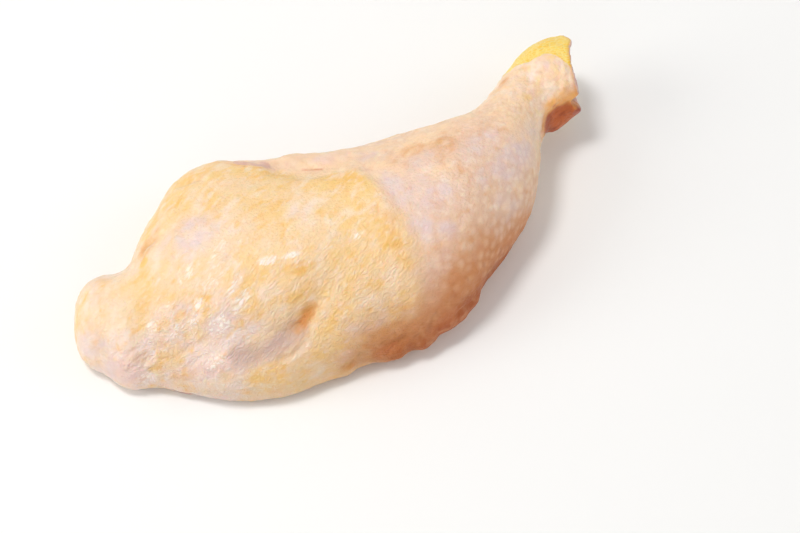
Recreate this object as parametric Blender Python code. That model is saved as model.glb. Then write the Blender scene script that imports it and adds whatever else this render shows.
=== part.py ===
"""Raw chicken leg, thigh and drumstick in one piece, skin on, lying on its inner side.

X runs from the tail end of the thigh towards the hock, Y away from the near edge, Z up.
All sizes below are millimetres, in plan as the leg lies; MM turns them into metres.
"""
import math
from collections import namedtuple

import bmesh
import bpy
import numpy as np
from mathutils import Vector

MM = 0.001

# ---------------------------------------------------------------- flesh, from tail end to hock
# A rib crosses the leg from its far outline point to its near one. top is the height of its
# crest, base that of its underside; far_edge and near_edge are the heights at which the
# outline is widest, and crest says where the top lies, from 0 at the near edge to 1 at the far.
Rib = namedtuple("Rib", "name far near top base far_edge near_edge crest")
RIBS = [
    Rib("tail lobe", (20, 65), (17, 28), 25, 0, 10, 7, 0.55),
    Rib("saddle", (26, 68), (28, 22), 28, 0, 11, 6, 0.58),
    Rib("haunch, low", (30, 80), (33, 22), 29, 0, 12, 5, 0.59),
    Rib("haunch", (35, 90), (39, 22), 32, 0, 12, 5, 0.60),
    Rib("rump", (46, 106), (53, 19), 36, 0, 12, 4, 0.60),
    Rib("thigh, widest", (61, 110), (66, 17), 38, 0, 13, 4, 0.58),
    Rib("thigh, middle", (78, 110), (85, 19), 39, 0, 14, 4, 0.56),
    Rib("thigh, towards the knee", (96, 112), (101, 26), 40, 0, 15, 5, 0.55),
    Rib("knee, thigh side", (110, 115), (120, 34), 41, 0, 16, 6, 0.54),
    Rib("knee, drumstick side", (124, 119), (136, 40), 43, 0, 18, 9, 0.53),
    Rib("calf, fullest", (134, 121), (152, 53), 44, 0, 20, 13, 0.52),
    Rib("calf, middle", (143, 124), (165, 74), 43, 0, 20, 16, 0.52),
    Rib("calf, end", (150, 126), (174, 90), 41, 2, 21, 18, 0.52),
    Rib("shin, thick end", (157, 133), (177, 105), 38, 5, 21, 20, 0.50),
    Rib("shin, thin end", (162, 141), (178, 118), 35, 8, 21, 21, 0.50),
    Rib("ankle", (167, 149), (181, 124), 34, 10, 22, 21, 0.50),
    Rib("hock, front", (173, 156), (187, 128), 36, 10, 23, 21, 0.50),
    Rib("hock, heel", (181, 160), (191, 130), 37, 9, 24, 21, 0.50),
    Rib("hock, cut", (188, 162), (193, 132), 37, 10, 23, 21, 0.50),
]
TAIL_CAP = 12.0          # how far the rounded tail end runs past the first rib
CAP_RINGS = 6
RING_STEP = 3.0          # along the leg
TOP_SIDES = 34
UNDER_SIDES = 16
TOP_FULLNESS = 2.0       # 2 is an ellipse, more is squarer
UNDER_FULLNESS = 3.0     # where the leg lies on the floor
LIFTED_FULLNESS = 2.2    # where its underside is this far or more above the floor:
LIFTED_FROM = 8.0
FLAT_SINK = 1.2          # the underside is pressed flat over what would sink this far
CUT_LEAN = 0.10          # the cut at the hock leans back by this share of its height
CUT_LEAN_RINGS = 7       # over this many rings before it

# The cut at the hock: shares of the rim's outline, and how far each stands out of its plane.
CUT_RINGS = [(0.96, 0.3), (0.90, 0.0), (0.83, -0.9), (0.68, -1.1)]

# ---------------------------------------------------------------- relief of the shown side
# Lines and centres are plan places on the top. Each depth or height follows the surface's
# normal, and each width or radius is where the profile has fallen to about a third.
Line = namedtuple("Line", "points rise width")
VALLEYS = [
    Line([(38, 30), (56, 30), (76, 28), (88, 34), (95, 41), (100, 48)], -2.4, 7.0),
    Line([(80, 30), (88, 34), (94, 40), (98, 45)], -1.5, 3.0),
    Line([(94, 40), (101, 49), (106, 57), (110, 66)], -0.9, 6.0),
    Line([(24, 68), (28, 56), (33, 45), (38, 35)], -0.9, 8.0),
    Line([(74, 99), (88, 94), (97, 94), (106, 98)], -1.8, 3.2),
    Line([(30, 67.5), (40, 69)], -1.0, 2.0),
    Line([(44, 94), (52, 92)], -1.0, 2.0),
    Line([(20, 29), (27, 36)], -0.8, 1.8),
    Line([(25, 26), (32, 34)], -0.8, 1.8),
    Line([(31, 25), (38, 32)], -0.8, 1.8),
]
RIDGES = [
    Line([(40, 38), (52, 37), (61, 38), (72, 42)], 1.4, 6.0),
    Line([(78, 104), (90, 103), (100, 103), (110, 106)], 1.6, 5.0),
    Line([(160, 100), (170, 122), (175, 136)], 1.0, 5.0),
]
Swell = namedtuple("Swell", "centre radius rise")
SWELLS = [
    Swell((61, 23), 10, 2.0),
    Swell((80, 22), 9, 1.2),
    Swell((112, 42), 13, 1.2),
    Swell((88, 58), 20, 1.2),
    Swell((56, 66), 16, -0.8),
]
# A step lifts the side on the left of its line, walked from the first point to the last.
Step = namedtuple("Step", "points rise edge reach")
STEPS = [
    Step([(134, 36), (133, 45), (131, 55), (130, 62), (126, 71), (121, 77), (116, 86),
          (111, 93), (106, 98)], 1.5, 2.4, 16.0),
    Step([(80, 97), (74, 100), (68, 102.5), (61, 104.5), (52, 107)], 1.6, 1.6, 10.0),
    Step([(190, 137), (188, 139.5), (183, 143), (174, 144.5), (166, 146)], 1.1, 1.4, 7.0),
]
# Lumps on the outline itself: tabs of loose fat and skin along the near edge, then the heel's
# bulge and the two hollows under it.
OUTLINE_LUMPS = [
    Swell((46, 20, 3), 4, 0.8),
    Swell((106, 27, 4), 5, 1.4),
    Swell((121, 33, 5), 6, 1.2),
    Swell((137, 39, 8), 5, 1.6),
    Swell((148, 48, 9), 5, 1.6),
    Swell((191, 138, 31), 6, 1.2),
    Swell((186, 127, 20), 5, -1.4),
    Swell((190, 131, 16), 4, -1.0),
]
# The torn end of a tendon on the cut's near side: where it stands and how far.
TENDON_END = Swell((193, 136, 18), 3.6, 2.2)

# ---------------------------------------------------------------- shin bone
# Places of the bone's axis from the knee to the hock, with its half width and half height.
Knuckle = namedtuple("Knuckle", "at across upright")
BONE = [
    Knuckle((131, 70, 21), 7.0, 7.5),
    Knuckle((140, 80, 21), 5.0, 5.5),
    Knuckle((151, 93, 21), 4.0, 4.2),
    Knuckle((163, 112, 21.5), 3.8, 4.0),
    Knuckle((172, 128, 22.5), 4.2, 4.6),
    Knuckle((177, 138, 23), 5.2, 6.4),
    Knuckle((182, 144, 23), 6.0, 7.8),
    Knuckle((188.5, 146.5, 23), 6.2, 8.4),
]
BONE_SIDES = 18
BONE_STEP = 3.4
BONE_CAP = 2.6           # how far the rounded ends run past the first and last places
BONE_CAP_RINGS = 4
CONDYLE_GROOVE = 1.2     # depth of the groove between the two knuckles at the hock
CONDYLE_GROOVE_WIDTH = 2.4
BONE_GAP = 0.32          # room between the bone and the flesh


def smooth_through(stations, values, at):
    """Cubic Hermite curve through the values, with slopes averaged from both sides."""
    stations = np.asarray(stations, float)
    values = np.asarray(values, float)
    gap = np.diff(stations)
    rise = np.diff(values) / gap
    slope = np.empty_like(values)
    slope[0] = rise[0]
    slope[-1] = rise[-1]
    slope[1:-1] = (rise[:-1] * gap[1:] + rise[1:] * gap[:-1]) / (gap[:-1] + gap[1:])
    span = np.clip(np.searchsorted(stations, at, side="right") - 1, 0, len(gap) - 1)
    t = (at - stations[span]) / gap[span]
    start = (1 + 2 * t) * (1 - t) ** 2 * values[span] + t * (1 - t) ** 2 * gap[span] * slope[span]
    end = t * t * (3 - 2 * t) * values[span + 1] + t * t * (t - 1) * gap[span] * slope[span + 1]
    return start + end


def stations_of(places):
    """Chord lengths along a row of places."""
    steps = np.linalg.norm(np.diff(np.asarray(places, float), axis=0), axis=1)
    return np.concatenate([[0], np.cumsum(steps)])


def middle(rib):
    return (np.array(rib.far, float) + np.array(rib.near, float)) / 2


def quarter(sides, fullness):
    """Shares along and up, from an outline point (1, 0) to a crest (0, 1)."""
    angle = np.linspace(0, math.pi / 2, sides + 1)
    return np.cos(angle) ** (2 / fullness), np.sin(angle) ** (2 / fullness)


def ring_points(far, near, top, base, far_edge, near_edge, crest):
    """One closed ring, from the far edge over the crest to the near edge and back under."""
    along, up = quarter(TOP_SIDES // 2, TOP_FULLNESS)
    lifted = min(1.0, base / LIFTED_FROM)
    fullness = UNDER_FULLNESS + (LIFTED_FULLNESS - UNDER_FULLNESS) * lifted
    under, down = quarter(UNDER_SIDES // 2, fullness)
    crest_at = near + crest * (far - near)
    foot_at = (near + far) / 2
    sunk = base - FLAT_SINK
    points = []
    for a, u in zip(along, up):
        points.append((*(crest_at + a * (far - crest_at)), far_edge + u * (top - far_edge)))
    for a, u in zip(along[-2::-1], up[-2::-1]):
        points.append((*(crest_at + a * (near - crest_at)), near_edge + u * (top - near_edge)))
    for a, d in zip(under[1:], down[1:]):
        points.append((*(foot_at + a * (near - foot_at)), near_edge + d * (sunk - near_edge)))
    for a, d in zip(under[-2:0:-1], down[-2:0:-1]):
        points.append((*(foot_at + a * (far - foot_at)), far_edge + d * (sunk - far_edge)))
    ring = np.array(points)
    ring[:, 2] = np.maximum(ring[:, 2], base)
    return ring


def tail_cap():
    """Pole and shrinking rings that round off the tail end before the first rib."""
    first = RIBS[0]
    centre = middle(first)
    far = np.array(first.far, float)
    near = np.array(first.near, float)
    outward = np.array([near[1] - far[1], far[0] - near[0]]) / np.linalg.norm(far - near)
    level = first.near_edge
    rings = []
    for step in range(1, CAP_RINGS):
        turn = step / CAP_RINGS * math.pi / 2
        share = math.sin(turn) ** 0.85
        shift = outward * TAIL_CAP * math.cos(turn)
        rings.append(ring_points(
            centre + (far - centre) * share + shift,
            centre + (near - centre) * share + shift,
            level + (first.top - level) * share,
            level + (first.base - level) * share,
            level + (first.far_edge - level) * share,
            level,
            first.crest))
    pole = (*(centre + outward * TAIL_CAP), level + 1)
    return np.array(pole), rings


def leg_rings():
    """Pole of the tail end, then rings to the hock by a smooth loft through the ribs."""
    stations = stations_of([middle(rib) for rib in RIBS])
    count = int(round(stations[-1] / RING_STEP)) + 1
    at = np.linspace(0, stations[-1], count)

    def along(values):
        return smooth_through(stations, values, at)

    far = np.stack([along([rib.far[axis] for rib in RIBS]) for axis in (0, 1)], axis=1)
    near = np.stack([along([rib.near[axis] for rib in RIBS]) for axis in (0, 1)], axis=1)
    heights = [np.maximum(along([getattr(rib, field) for rib in RIBS]), 0)
               for field in ("top", "base", "far_edge", "near_edge", "crest")]
    body = [ring_points(far[i], near[i], *(height[i] for height in heights))
            for i in range(count)]
    for step, ring in enumerate(body[-CUT_LEAN_RINGS:], start=1):
        lean = CUT_LEAN * (step / CUT_LEAN_RINGS) ** 2
        ring[:, 0] -= lean * (ring[:, 2] - RIBS[-1].near_edge)
    pole, cap = tail_cap()
    return pole, np.array(cap + body)


def line_distance(places, line):
    """Signed distance to a polyline, positive on its left, and the share walked along it."""
    line = np.asarray(line, float)
    walked = stations_of(line)
    nearest = np.full(places.shape[:-1], np.inf)
    side = np.ones_like(nearest)
    share = np.zeros_like(nearest)
    for start, end, before in zip(line, line[1:], walked):
        run = end - start
        length = np.linalg.norm(run)
        offset = places - start
        t = np.clip((offset @ run) / length ** 2, 0, 1)
        distance = np.linalg.norm(offset - t[..., None] * run, axis=-1)
        closer = distance < nearest
        cross = run[0] * offset[..., 1] - run[1] * offset[..., 0]
        nearest = np.where(closer, distance, nearest)
        side = np.where(closer, np.sign(cross), side)
        share = np.where(closer, (before + t * length) / walked[-1], share)
    return nearest * side, share


def ends_faded(share, fade=0.18):
    """One along a line, falling smoothly to a quarter at both of its ends."""
    reach = np.clip(np.minimum(share, 1 - share) / fade, 0, 1)
    return 0.25 + 0.75 * reach * reach * (3 - 2 * reach)


def relief(places):
    """How far each plan place of the top stands out along its normal."""
    rise = np.zeros(places.shape[:-1])
    for line in VALLEYS + RIDGES:
        distance, share = line_distance(places, line.points)
        rise += line.rise * np.exp(-(distance / line.width) ** 2) * ends_faded(share)
    for swell in SWELLS:
        distance = np.linalg.norm(places - np.array(swell.centre, float), axis=-1)
        rise += swell.rise * np.exp(-(distance / swell.radius) ** 2)
    for step in STEPS:
        distance, share = line_distance(places, step.points)
        climb = np.clip(distance / step.edge + 0.5, 0, 1)
        climb = climb * climb * (3 - 2 * climb)
        fall = np.exp(-np.maximum(distance, 0) / step.reach)
        rise += step.rise * climb * fall * ends_faded(share)
    return rise


def ring_normals(rings):
    """Outward normals of a grid of rings, from the neighbours of each point."""
    along = np.gradient(rings, axis=0)
    around = np.roll(rings, -1, axis=1) - np.roll(rings, 1, axis=1)
    normals = np.cross(around, along)
    length = np.linalg.norm(normals, axis=-1, keepdims=True)
    return normals / np.maximum(length, 1e-9)


def shaped_rings(rings):
    """The rings with their relief, full on top and none at the outline, and their lumps."""
    normals = ring_normals(rings)
    upward = np.clip(normals[..., 2:3] * 2.2, 0, 1)
    shaped = rings + normals * upward * relief(rings[..., :2])[..., None]
    for lump in OUTLINE_LUMPS:
        distance = np.linalg.norm(rings - np.array(lump.centre, float), axis=-1, keepdims=True)
        shaped += normals * lump.rise * np.exp(-(distance / lump.radius) ** 2)
    lowest = rings[..., 2].min(axis=1)[:, None]
    shaped[..., 2] = np.maximum(shaped[..., 2], lowest)
    return shaped


def bone_rings(grow=0.0):
    """Poles and rings of the shin bone, made fatter by grow all round."""
    stations = stations_of([knuckle.at for knuckle in BONE])
    count = int(round(stations[-1] / BONE_STEP)) + 1
    at = np.linspace(0, stations[-1], count)
    axis = np.stack([smooth_through(stations, [knuckle.at[i] for knuckle in BONE], at)
                     for i in range(3)], axis=1)
    across = smooth_through(stations, [knuckle.across for knuckle in BONE], at)
    upright = smooth_through(stations, [knuckle.upright for knuckle in BONE], at)
    ahead = np.gradient(axis, axis=0)
    ahead /= np.linalg.norm(ahead, axis=1, keepdims=True)
    up = np.array([0, 0, 1.0])
    turns = np.arange(BONE_SIDES) / BONE_SIDES * 2 * math.pi

    def ring(centre, forward, half_width, half_height):
        sideways = np.cross(forward, up)
        sideways /= np.linalg.norm(sideways)
        return np.array([centre + sideways * math.cos(turn) * half_width
                         + up * math.sin(turn) * half_height for turn in turns])

    def cap(index, direction):
        rings = []
        for step in range(1, BONE_CAP_RINGS):
            turn = step / BONE_CAP_RINGS * math.pi / 2
            centre = axis[index] + ahead[index] * direction * math.cos(turn) * (BONE_CAP + grow)
            share = math.sin(turn)
            rings.append(ring(centre, ahead[index], (across[index] + grow) * share,
                              (upright[index] + grow) * share))
        pole = axis[index] + ahead[index] * direction * (BONE_CAP + grow)
        return pole, rings

    knee_pole, knee_cap = cap(0, -1)
    hock_pole, hock_cap = cap(-1, 1)
    body = [ring(axis[i], ahead[i], across[i] + grow, upright[i] + grow) for i in range(count)]
    rings = np.array(knee_cap + body + hock_cap[::-1])
    # the groove between the knuckles pulls the end back where it is near mid height
    end = axis[-1]
    for points in (rings.reshape(-1, 3), hock_pole.reshape(1, 3)):
        past = np.clip((points - end) @ ahead[-1] / BONE_CAP, 0, 1)
        waist = np.exp(-((points[:, 2] - end[2]) / CONDYLE_GROOVE_WIDTH) ** 2)
        points -= ahead[-1] * (CONDYLE_GROOVE * past * waist)[:, None]
    return knee_pole, rings, hock_pole


def clear_scene():
    for thing in list(bpy.data.objects):
        bpy.data.objects.remove(thing, do_unlink=True)


def finish(name, hex_colour, roughness):
    """A material with one Principled shader, its colour given as sRGB hex."""
    material = bpy.data.materials.new(name)
    material.use_nodes = True
    shader = material.node_tree.nodes["Principled BSDF"]
    channels = [int(hex_colour[i:i + 2], 16) / 255 for i in (0, 2, 4)]
    linear = [c / 12.92 if c <= 0.04045 else ((c + 0.055) / 1.055) ** 2.4 for c in channels]
    shader.inputs["Base Color"].default_value = (*linear, 1)
    shader.inputs["Roughness"].default_value = roughness
    return material


def skinned(rings, pole, end_pole):
    """A closed shell: a fan at each pole and quads between the rings."""
    bm = bmesh.new()
    tip = bm.verts.new(Vector(pole) * MM)
    rows = [[bm.verts.new(Vector(point) * MM) for point in ring] for ring in rings]
    tail = bm.verts.new(Vector(end_pole) * MM)
    sides = len(rows[0])
    for j in range(sides):
        k = (j + 1) % sides
        bm.faces.new((tip, rows[0][k], rows[0][j]))
        bm.faces.new((tail, rows[-1][j], rows[-1][k]))
        for row, following in zip(rows, rows[1:]):
            bm.faces.new((row[j], row[k], following[k], following[j]))
    bmesh.ops.recalc_face_normals(bm, faces=bm.faces)
    return bm


def add_object(name, shell, material):
    mesh = bpy.data.meshes.new(name)
    shell.to_mesh(mesh)
    shell.free()
    mesh.materials.append(material)
    mesh.shade_smooth()
    mesh.set_sharp_from_angle(angle=math.radians(50))
    made = bpy.data.objects.new(name, mesh)
    bpy.context.scene.collection.objects.link(made)
    return made


def cut_face(rim):
    """Rings that turn the skin over the rim of the hock's cut, and the middle of the cut."""
    centre = rim.mean(axis=0)
    outward = np.cross(rim[TOP_SIDES // 2] - centre, rim[0] - centre)
    outward *= np.sign(outward[0]) / np.linalg.norm(outward)
    rings = []
    for share, stand in CUT_RINGS:
        ring = centre + (rim - centre) * share
        gap = np.linalg.norm(ring - np.array(TENDON_END.centre, float), axis=-1, keepdims=True)
        tendon = TENDON_END.rise * np.exp(-(gap / TENDON_END.radius) ** 2)
        rings.append(ring + outward * (stand + tendon))
    return rings, centre + outward * CUT_RINGS[-1][1]


def make_leg():
    pole, rings = leg_rings()
    rings = shaped_rings(rings)
    face, face_centre = cut_face(rings[-1])
    shell = skinned(np.concatenate([rings, face]), pole, face_centre)
    return add_object("leg", shell, finish("chicken skin", "f2d3b0", 0.42))


def make_bone():
    knee_pole, rings, hock_pole = bone_rings()
    shell = skinned(rings, knee_pole, hock_pole)
    return add_object("shin_bone", shell, finish("bone and cartilage", "d9a596", 0.35))


def make_channel():
    """The room for the bone, a little fatter than it; it cuts the leg and isn't a part."""
    knee_pole, rings, hock_pole = bone_rings(grow=BONE_GAP)
    shell = skinned(rings, knee_pole, hock_pole)
    channel = add_object("bone_channel", shell, finish("channel", "808080", 0.5))
    channel.hide_render = True
    channel.display_type = "WIRE"
    return channel


def centre_on_floor(parts):
    """Put the middle of the whole's footprint over the origin, by one empty above all."""
    corners = np.array([vertex.co for part in parts for vertex in part.data.vertices])
    low = corners.min(axis=0)
    high = corners.max(axis=0)
    holder = bpy.data.objects.new("leg_origin", None)
    holder.location = (-(low[0] + high[0]) / 2, -(low[1] + high[1]) / 2, -low[2])
    bpy.context.scene.collection.objects.link(holder)
    return holder


def build():
    clear_scene()
    leg = make_leg()
    bone = make_bone()
    channel = make_channel()
    cut = leg.modifiers.new("room for the bone", "BOOLEAN")
    cut.operation = "DIFFERENCE"
    cut.solver = "EXACT"
    cut.object = channel
    holder = centre_on_floor([leg, bone])
    for part in (leg, bone, channel):
        part.parent = holder
    bpy.context.view_layer.update()


build()
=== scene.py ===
"""Raw chicken leg: the looks of its skin, meat, scales and cut bone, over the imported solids.

Places are millimetres along the leg from its tail end (x) and across it from its near edge
(y), seen from above; on_skin() drops them onto the skin. Heights are above the floor.
"""
import math

import bmesh
import bpy
import numpy as np
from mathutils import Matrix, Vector
from mathutils.bvhtree import BVHTree


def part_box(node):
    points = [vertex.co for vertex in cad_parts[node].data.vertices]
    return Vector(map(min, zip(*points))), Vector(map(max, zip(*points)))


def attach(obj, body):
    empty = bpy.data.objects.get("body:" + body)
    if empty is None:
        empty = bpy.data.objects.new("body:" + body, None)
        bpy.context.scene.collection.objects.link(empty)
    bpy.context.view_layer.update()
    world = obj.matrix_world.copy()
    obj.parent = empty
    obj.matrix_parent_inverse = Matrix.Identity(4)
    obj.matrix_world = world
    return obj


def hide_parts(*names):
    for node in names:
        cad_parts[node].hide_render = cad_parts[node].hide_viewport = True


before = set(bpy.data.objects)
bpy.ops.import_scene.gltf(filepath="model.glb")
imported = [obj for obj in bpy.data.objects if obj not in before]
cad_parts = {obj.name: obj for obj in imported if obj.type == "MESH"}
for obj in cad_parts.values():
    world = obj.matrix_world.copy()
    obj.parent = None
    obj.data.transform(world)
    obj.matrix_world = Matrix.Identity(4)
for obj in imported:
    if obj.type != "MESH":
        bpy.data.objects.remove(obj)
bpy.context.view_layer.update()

bl_info = {
    "name": "Raw chicken leg",
    "version": (1, 0, 0),
    "blender": (4, 5, 0),
    "location": "3D View > Sidebar > Chicken Leg",
    "description": "Dresses the packed chicken leg in raw skin, with its cut bone and a studio",
    "category": "Object",
}

MM = 0.001
LEG_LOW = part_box("leg")[0]
CORNER = Vector((LEG_LOW.x, LEG_LOW.y, 0))    # the low corner, from which places are measured
SAME_POINT = 0.01 * MM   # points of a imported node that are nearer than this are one
AIM = (118.5, 58.0, 0)   # what the camera looks at

VOXEL = 0.78             # mesh size of the skin
SMOOTH_STEPS = 10        # these take the facets of the solid out of it
EVEN_STEPS = 60          # these even out its soft spots
WRINKLE_TURN = 52        # direction of the skin's wrinkles and folds, in degrees from the x axis
WRINKLE_SPACING = 1.25
PUCKER_TURN = 49         # the same for its coarser puckers
PUCKER_SPACING = 1.9
BUMP_ROW_TURN = 38       # direction of the rows of goose bumps
DRAWN_TURN = 50          # direction in which the thigh's colours are drawn out
NOISE_APART = 3.7        # keeps the noises of the colour layers unlike each other
SMOOTH = {"interpolation_type": "SMOOTHSTEP"}    # an even rise, as ramp() gives

# ---------------------------------------------------------------- places on the leg
# A spot is an ellipse: its middle (x, y), its length along a direction and its width, the
# angle of that direction from the x axis, and how strongly it shows.
SPOT_CORE = 0.3          # a spot fades from this share of its half size
SPOT_EDGE = 1.5          # to this one
SPOTS = {
    # Yellow fat shows through the skin: over the knee, the far shoulder and the near folds.
    "fat": [(98, 69, 30, 17, -12, 1), (66, 78, 32, 9, -12, 0.9), (41, 80, 22, 9, 35, 0.9),
        (29, 62, 28, 9, 62, 0.9), (26, 43, 6, 4, 60, 1), (17, 33, 18, 9, 10, 0.45),
        (40, 21, 7, 4, 50, 0.8), (37, 27, 7, 5, 60, 0.7), (48, 25, 8, 4, 50, 0.9),
        (43, 16, 6, 4, 50, 0.6), (53, 21, 6, 3, 50, 0.6), (74, 3, 11, 5, 20, 1),
        (101, 56, 26, 16, -20, 0.8), (108, 36, 30, 16, 40, 0.4), (49, 19, 7, 4, 40, 1),
        (82, 36, 10, 7, 0, 1), (67, 31, 16, 8, 45, 0.7), (115, 46, 14, 10, -60, 1),
        (27, 32, 14, 8, 20, 0.6), (36, 67, 16, 10, 50, 1), (66, 30, 22, 10, 40, 0.8),
        (49, 77, 22, 11, 20, 0.9), (47, 65, 18, 11, 40, 1), (70, 4, 16, 6, 20, 1),
        (66, 24, 14, 6, 50, 0.8), (36, 10, 14, 8, 20, 0.7), (97, 21, 18, 9, 15, 0.7),
        (96, 72, 16, 10, -20, 1), (98, 40, 14, 10, 40, 0.7)],
    # Thin skin over muscle, greyish lilac: the tail lobe, beside the knee and the calf.
    "lilac": [(43, 50, 27, 17, 30, 0.75), (57, 43, 18, 11, 40, 0.5), (62, 33, 12, 7, 50, 0.5),
        (62, 52, 14, 9, 30, 0.35), (83, 57, 14, 8, 20, 0.45), (54, 18, 16, 9, 30, 1),
        (40, 23, 12, 7, 40, 0.55), (126, 79, 18, 9, 30, 0.7), (133, 63, 20, 12, 40, 0.75),
        (148, 84, 22, 12, 40, 0.8), (163, 84, 30, 11, 55, 0.8), (157, 62, 22, 8, 60, 0.6),
        (167, 96, 15, 8, 60, 0.7), (8, 16, 15, 17, 0, 0.8), (15, 9, 16, 9, -20, 0.8),
        (55, 7, 20, 9, 0, 0.8), (59, 27, 20, 5, 55, 0.5), (64, 15, 14, 6, 30, 0.4),
        (46, 8, 12, 6, 10, 0.6), (91, 21, 11, 5, 45, 0.5), (104, 20, 18, 7, 15, 0.5),
        (127, 51, 19, 9, -62, 1), (117, 67, 22, 9, -52, 0.9), (135, 50, 11, 8, 0, 1),
        (150, 71, 14, 8, 40, 0.7), (158, 80, 26, 13, 55, 1), (155, 65, 10, 7, 50, 0.6),
        (74, 13, 16, 5, 40, 0.8), (106, 84, 20, 7, -10, 0.8), (141, 61, 24, 14, 40, 0.35)],
    # Pink: the tail lobe, the roll, and the top of the hood at the hock.
    "pink": [(20, 7, 18, 9, -10, 0.8), (92, 84, 16, 7, 0, 0.6), (50, 6, 26, 8, 0, 0.5),
        (176, 124, 10, 7, 0, 0.7), (163, 84, 16, 9, 60, 0.6)],
    # A wide, faint patch of paler skin on the top of the thigh.
    "pallor": [(47, 51, 42, 25, 30, 0.5)],
    # Bluish, where a vein or dark muscle lies close under thin skin.
    "vein": [(134, 51, 9, 6, 60, 0.5), (147, 72, 12, 5, 55, 0.6), (153, 78, 9, 5, 60, 0.6),
        (127, 57, 8, 5, -60, 0.4)],
    # Where the skin is wettest: its coat glints there, and a painted white highlight lies on it.
    # The long spot on the near edge paints the light that the floor throws up on it.
    "sheen": [(71.5, 38.5, 7, 3.5, 10, 1.3), (80, 40, 8, 2.2, 10, 1.1), (82, 37, 3, 4, 0, 0.5),
        (54, 44, 12, 6, 60, 0.5), (45, 50, 9, 5, 30, 0.25), (63, 26, 10, 5, 60, 0.7),
        (52, 33, 16, 8, 60, 0.5), (43, 36, 12, 7, 50, 0.45), (60.5, 31, 8, 3, 65, 0.8),
        (58.5, 27.5, 7, 3, 70, 0.7), (61, 23, 9, 3, 70, 0.6), (54.5, 17.5, 12, 6, 30, 0.7),
        (38, 17, 8, 4, 40, 0.6), (47, 25, 5, 4, 50, 0.9), (44.5, 19, 11, 4, 35, 0.8),
        (30, 19, 7, 4, 45, 0.7), (53, 7.5, 10, 5, 30, 0.7), (36.5, 25.5, 6, 3, 40, 0.4),
        (86.5, 53, 5, 2.5, -30, 0.5), (103, 47.5, 8, 2.5, 40, 0.6), (93, 43, 7, 2, 0, 0.5),
        (27.5, 6, 9, 4, 0, 0.6), (61, 1, 44, 9, 0, 0.25)],
    # Orange-brown, where the skin is thin over dark meat or dries at an edge.
    "orange": [(27.5, 50.5, 18, 7, 55, 0.65), (43, 77, 11, 4, 20, 0.45),
        (110, 57, 7, 5, -50, 0.4), (115, 54, 10, 7, -50, 0.45), (116, 46, 12, 7, -70, 0.4),
        (83, 36, 10, 5, 20, 0.4), (157, 119, 15, 6, 48, 0.5), (119, 79, 18, 10, -30, 0.4),
        (134, 86, 24, 14, 45, 0.5), (123, 84, 14, 9, 30, 0.6), (182, 116, 9, 7, 0, 0.5),
        (100, 11, 6, 3, 20, 0.8), (42, 13, 18, 4, 40, 0.35), (67, 21, 14, 6, 55, 0.3),
        (74, 4, 14, 4, 20, 0.25), (40, 2, 14, 4, 0, 0.45), (84.5, 21.5, 16, 6, 52, 1),
        (82.5, 20, 13, 7, 42, 0.55), (24, 10, 15, 8, 20, 0.45), (33, 14, 12, 6, 40, 0.35)],
    # Browner still: painted shade in the deepest folds and in the hollow under the heel.
    "brown": [(177, 111.5, 3, 2.5, 0, 0.8), (114, 17, 14, 5, 10, 0.4), (137, 26, 18, 6, 40, 0.4),
        (84.5, 21.5, 9, 3, 50, 0.35)],
    # Where the skin is driest, and doesn't glint.
    "dry": [(26, 27, 24, 20, 0, 1), (40, 80, 34, 12, 30, 0.8)],
    # Small knobbly wrinkles.
    "puckered": [(24, 9, 20, 10, 10, 1), (40, 22, 18, 12, 40, 0.5), (60, 27, 16, 9, 50, 0.6),
        (83, 37, 12, 6, 0, 0.6), (114, 30, 26, 16, 30, 0.6), (54, 8, 18, 9, 0, 0.6)],
    # Where goose bumps show best.
    "bumpy": [(156, 66, 56, 30, 62, 1), (138, 42, 30, 18, 50, 0.7), (150, 92, 24, 12, 50, 0.5),
        (164, 108, 40, 30, 60, 0.8)],
}
# Bare meat on the underside.
UNDER_MEAT = (62, 45, 88, 52, 10, 1)
# Where the mesh is evened out: the loft's own edges, softer than the knee's overlap needs.
SOFT_SPOTS = [(24, 30, 26, 40, 90, 1), (123, 34, 34, 12, -80, 0.9), (114, 60, 34, 9, -60, 0.5)]

CREASE = [(90, 26), (87, 24), (84, 21), (81, 19)]
TROUGH = [(62, 9), (67, 9), (71, 10), (75, 12), (79, 15), (82, 18)]
STREAK = [(82.5, 79.7), (86, 79.3), (90, 79.1)]
# The edge of the fatty thigh skin: over the fold on the far side, then round the knee.
KNEE_EDGE = [(70, 82), (81, 78), (90, 77), (98, 80), (104, 76), (110, 68), (115, 58), (119, 54),
             (123, 45), (124, 38), (126, 28), (128, 18)]
# Where the thigh's skin ends on the far side and flesh shows under a thin film.
FAR_SKIN_EDGE = [(44, 92), (50, 87.5), (55, 84.8), (58, 83.2), (61.5, 82.2), (65, 81.5),
                 (68, 81), (71.5, 81)]
# The lower edge of the scaly shank skin at the hock.
SCALE_EDGE = [(152, 116), (158, 123.5), (162, 127), (167, 127), (170, 128), (173, 129.5),
              (175, 129.5), (178, 127.5), (180, 125.5), (183, 123)]

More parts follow.
